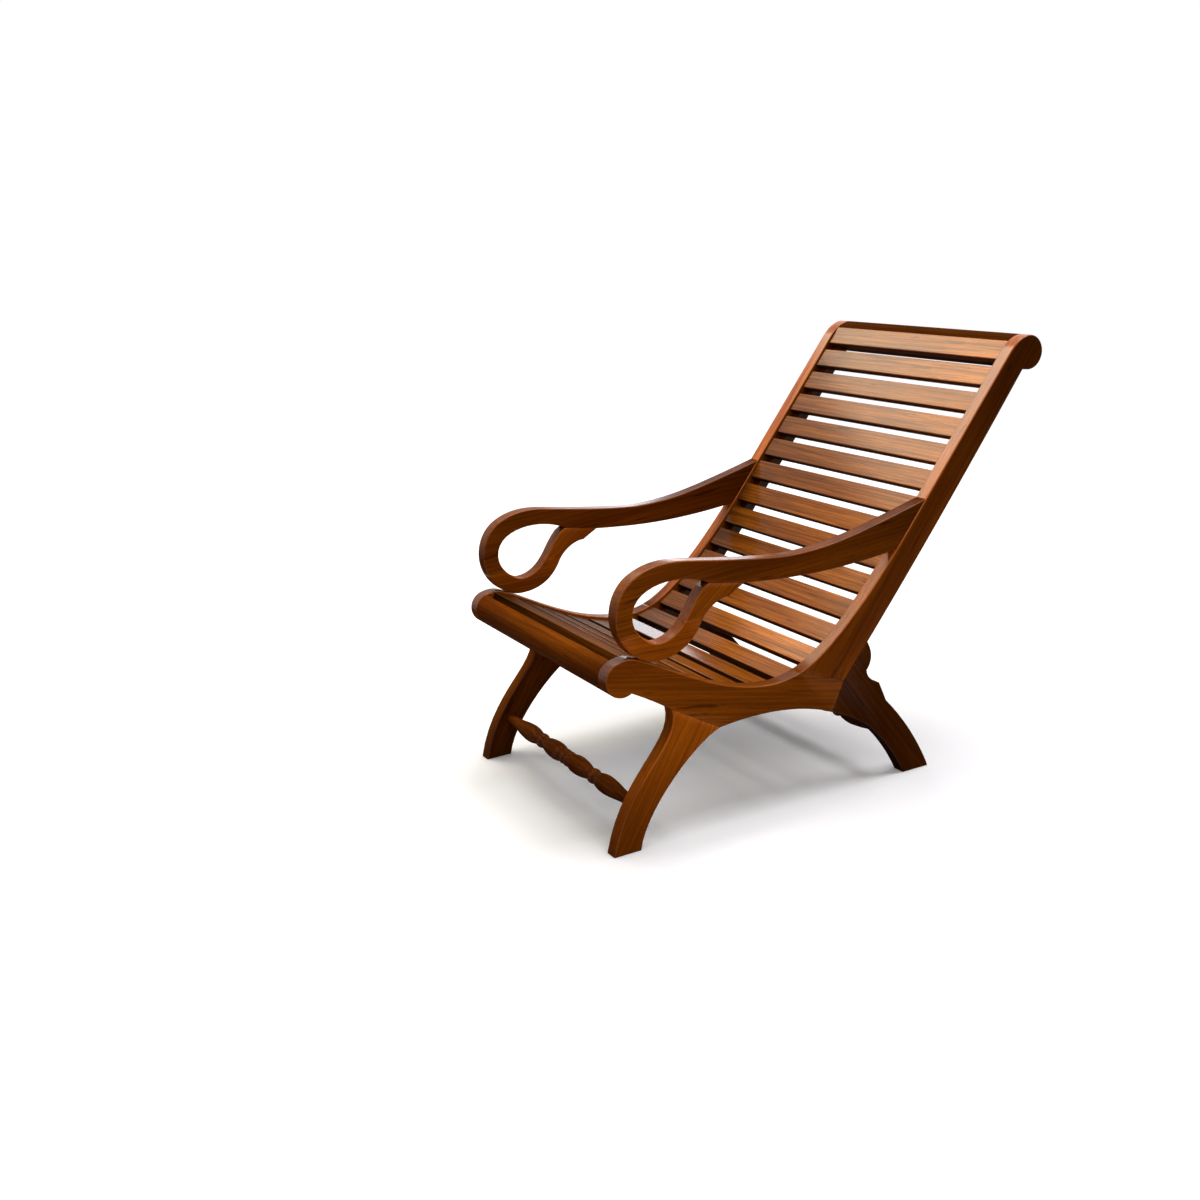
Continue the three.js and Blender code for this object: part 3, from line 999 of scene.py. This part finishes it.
def buildRails(wood):
    crest = addCylinder("crest_rail.made", chair["topScroll"])
    overrun = railMake["overrun"]
    cutAway(crest, addSlatRoom(slatMark(0), (slatBack - overrun) / 2, slatBack + overrun))

    roll = addCylinder("front_roll_rail.made", chair["frontScroll"])
    editAll(roll)
    flat = (0, (chair["frontScroll"][0] - railMake["rollCut"]) * mm, chair["frontScroll"][1] * mm)
    bpy.ops.mesh.bisect(plane_co=flat, plane_no=(0, 1, 0), use_fill=True, clear_outer=True)
    bpy.ops.object.mode_set(mode="OBJECT")

    polish = (railMake["polish"], railMake["polish"])
    for number, (rail, node) in enumerate(((crest, "crest_rail"), (roll, "front_roll_rail"))):
        easeEdges(rail, railMake["ease"])
        smoothFaces(rail)
        tone = railMake["tones"][node]
        layGrain(rail, (1, 0, 0), railMake["across"], (tone, tone), polish, seeds["rail"] + number)
        dress(rail, node, wood)
    print("rails built")


# turned stretchers
turning = {
    "span": 285.0,
    "radius": 20.0,
    "shares": [  # of the span from the middle out, and of the radius there
        (0.000, 0.64), (0.012, 0.68), (0.025, 0.84), (0.05, 0.84), (0.065, 0.74), (0.13, 0.97),
        (0.26, 0.95), (0.35, 0.72), (0.4, 0.63), (0.415, 0.8), (0.445, 0.8), (0.46, 0.63),
        (0.53, 0.84), (0.6, 0.98), (0.7, 0.93), (0.85, 0.68), (0.97, 0.55),
    ],
    "centers": {"front_stretcher": (-481.8, 87.2), "rear_stretcher": (152.4, 91.8)},
    "fineness": 8,
    "sides": 48,
    "tone": 1.35,
    "polish": 0.02,
}


# both halves, with each end closed on the axis
def turningProfile():
    end = innerX - chair["gap"]
    span, thickest = turning["span"], turning["radius"]
    half = [(share * span, radius * thickest) for share, radius in turning["shares"]]
    half.append((end, half[-1][1]))
    profile = [(-x, radius) for x, radius in reversed(half[1:])] + half
    return [(-end, 0.0)] + profile + [(end, 0.0)]


def buildStretchers(wood):
    profile = turningProfile()
    tones, polish = (turning["tone"], turning["tone"]), (turning["polish"], turning["polish"])
    for number, (node, center) in enumerate(turning["centers"].items()):
        drawing, line = startCurve(node + ".made", len(profile))
        for point, (x, radius) in zip(line.bezier_points, profile):
            point.co = Vector((x, center[0], center[1] + radius)) * mm
            point.handle_left_type = point.handle_right_type = "AUTO"
        for index in (0, 1, -2, -1):  # the flat ends
            line.bezier_points[index].handle_left_type = "VECTOR"
            line.bezier_points[index].handle_right_type = "VECTOR"
        turned = curveToMesh(drawing, turning["fineness"])
        editAll(turned)
        bpy.ops.mesh.spin(
            steps=turning["sides"],
            angle=math.tau,
            center=(0, center[0] * mm, center[1] * mm),
            axis=(1, 0, 0),
            use_auto_merge=True,
        )
        bpy.ops.mesh.select_all(action="SELECT")
        bpy.ops.mesh.remove_doubles(threshold=finishing["merge"] * mm)
        turnOutwards(turned)
        smoothFaces(turned)
        layGrain(turned, (1, 0, 0), (0, 0, 1), tones, polish, seeds["stretcher"] + number)
        dress(turned, node, wood)
    print("stretchers turned")


# floor and light
studio = {
    "floorSize": 80,
    "worldStrength": 0.06,
    "overheadStrength": 2.85,
    "overheadPlace": (0.0, 1.24, 3.8),
    "overheadSoftness": 47.0,
    "paper": (0.955, 0.945, 0.975, 1),
    "paperBounce": (0.16, 0.145, 0.13, 1),  # what the wood gets back from the floor
    "paperLift": 0.125,
    "windowAim": (0, 0, 0.45),
    "windows": [
        # place, width, height, power, colour
        ((-1.85, -0.42, 2.7), 1.2, 1.2, 28.0, (1.0, 0.95, 0.7)),
        ((-3.4, 1.9, 1.25), 1.0, 0.6, 14.0, (0.84, 0.92, 1.0)),
        ((-0.9, -2.2, 2.7), 1.6, 1.2, 14.0, (1.0, 0.92, 0.82)),
        ((3.4, -0.3, 2.1), 2.0, 1.4, 28.0, (1.0, 0.96, 0.9)),
    ],
}


def facing(place, target):
    return (Vector(place) - Vector(target)).to_track_quat("Z", "Y").to_euler()


# one for a ray that looks at the paper or the sky, straight or in a reflection
def seenRays(nodes, links):
    rays = nodes.new("ShaderNodeLightPath")
    share = rays.outputs["Is Camera Ray"]
    for name in ("Is Glossy Ray", "Is Transmission Ray"):
        either = nodes.new("ShaderNodeMath")
        either.operation = "MAXIMUM"
        links.new(share, either.inputs[0])
        links.new(rays.outputs[name], either.inputs[1])
        share = either.outputs[0]
    return share


def makePaper():
    paper = bpy.data.materials.new("studioPaper")
    paper.use_nodes = True
    nodes, links = paper.node_tree.nodes, paper.node_tree.links
    nodes.remove(nodes["Principled BSDF"])
    bounce = nodes.new("ShaderNodeBsdfDiffuse")
    bounce.inputs["Color"].default_value = studio["paperBounce"]
    white = nodes.new("ShaderNodeBsdfDiffuse")
    white.inputs["Color"].default_value = studio["paper"]
    lift = nodes.new("ShaderNodeEmission")
    lift.inputs["Strength"].default_value = studio["paperLift"]
    lifted = nodes.new("ShaderNodeAddShader")
    links.new(white.outputs[0], lifted.inputs[0])
    links.new(lift.outputs[0], lifted.inputs[1])
    choose = nodes.new("ShaderNodeMixShader")
    links.new(seenRays(nodes, links), choose.inputs[0])
    links.new(bounce.outputs[0], choose.inputs[1])
    links.new(lifted.outputs[0], choose.inputs[2])
    links.new(choose.outputs[0], nodes["Material Output"].inputs["Surface"])
    return paper


def hangSky():
    world = bpy.data.worlds.new("studioWorld")
    bpy.context.scene.world = world
    world.use_nodes = True
    nodes, links = world.node_tree.nodes, world.node_tree.links
    level = nodes.new("ShaderNodeMapRange")
    level.inputs["To Min"].default_value = studio["worldStrength"]
    level.inputs["To Max"].default_value = 1
    links.new(seenRays(nodes, links), level.inputs["Value"])
    sky = nodes["Background"]
    sky.inputs["Color"].default_value = (1, 1, 1, 1)
    links.new(level.outputs[0], sky.inputs["Strength"])


def hangLights():
    place = studio["overheadPlace"]
    bpy.ops.object.light_add(type="SUN", location=place, rotation=facing(place, (0, 0, 0)))
    overhead = bpy.context.object
    overhead.name = "overheadLight"
    overhead.data.energy = studio["overheadStrength"]
    overhead.data.angle = math.radians(studio["overheadSoftness"])
    for number, (place, width, height, power, colour) in enumerate(studio["windows"], 1):
        turn = facing(place, studio["windowAim"])
        bpy.ops.object.light_add(type="AREA", location=place, rotation=turn)
        window = bpy.context.object
        window.name = "windowLight" + str(number)
        window.data.shape = "RECTANGLE"
        window.data.size = width
        window.data.size_y = height
        window.data.energy = power
        window.data.color = colour


def buildStudio():
    startFresh()
    bpy.ops.mesh.primitive_plane_add(size=studio["floorSize"], location=(0, 0, 0))
    floor = bpy.context.object
    floor.name = "studioFloor"
    floor.data.materials.append(makePaper())
    hangSky()
    hangLights()
    bpy.context.scene.view_settings.view_transform = "Standard"
    print("studio lit")


placeCamera()
frameWood, slatWood, turnedWood = makeWood("frameWood"), makeWood("slatWood"), makeWood("turnedWood")
buildSides(frameWood)
buildSlats(slatWood)
buildStrips(turnedWood)
buildRails(frameWood)
buildStretchers(turnedWood)
buildStudio()
